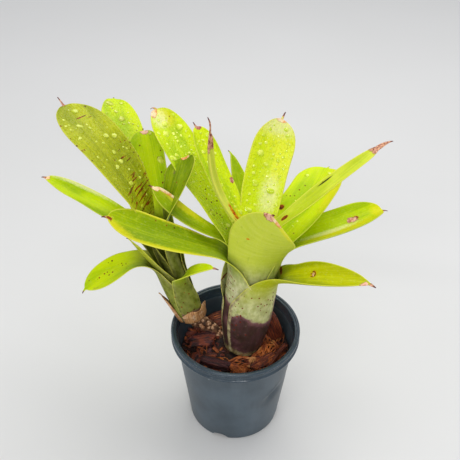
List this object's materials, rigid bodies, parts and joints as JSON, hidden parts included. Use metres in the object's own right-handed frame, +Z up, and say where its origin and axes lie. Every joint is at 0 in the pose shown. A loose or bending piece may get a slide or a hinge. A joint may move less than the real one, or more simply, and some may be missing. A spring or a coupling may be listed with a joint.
{
  "type": "potted bromeliad",
  "caption": "Potted tank bromeliad: an upright leaf rosette and a leaning offset on a short runner, in a round nursery pot of bark chips.",
  "frame": {"origin": "centre of the pot's flat underside, on the surface that it stands on", "axes": "+Z up out of the pot; -Y is the side that the broad front leaf and the open headspace face; the offset leans towards -X"},
  "size_m": [0.3181, 0.2144, 0.316],
  "materials": {
    "pot": "satin slate black",
    "potting_mix": "matte loose bark",
    "stem": "matte fibrous",
    "dry_husk": "matte papery",
    "bark": "matte split bark",
    "leaf": "glossy leaf",
    "offset_leaf": "satin leaf"
  },
  "bodies": {
    "root": {"pot": "pot", "potting_mix": "potting_mix", "main_stem": "stem", "offset_stem": "stem", "runner": "stem", "offset_husk": "dry_husk", "offset_bract": "dry_husk", "bark_chip_01": "bark", "bark_chip_02": "bark", "bark_chip_03": "bark", "bark_chip_04": "bark", "bark_chip_05": "bark", "bark_chip_06": "bark", "bark_chip_07": "bark", "bark_chip_08": "bark", "bark_chip_09": "bark", "bark_chip_10": "bark", "main_leaf_01": "leaf", "main_leaf_02": "leaf", "main_leaf_03": "leaf", "main_leaf_04": "leaf", "main_leaf_05": "leaf", "main_leaf_06": "leaf", "main_leaf_07": "leaf", "main_leaf_08": "leaf", "main_leaf_09": "leaf", "main_leaf_10": "leaf", "main_leaf_11": "leaf", "main_leaf_12": "leaf", "offset_leaf_01": "offset_leaf", "offset_leaf_02": "offset_leaf", "offset_leaf_03": "offset_leaf", "offset_leaf_04": "offset_leaf", "offset_leaf_05": "offset_leaf", "offset_leaf_06": "offset_leaf", "offset_leaf_07": "offset_leaf", "offset_leaf_08": "offset_leaf"}
  },
  "joints": []
}
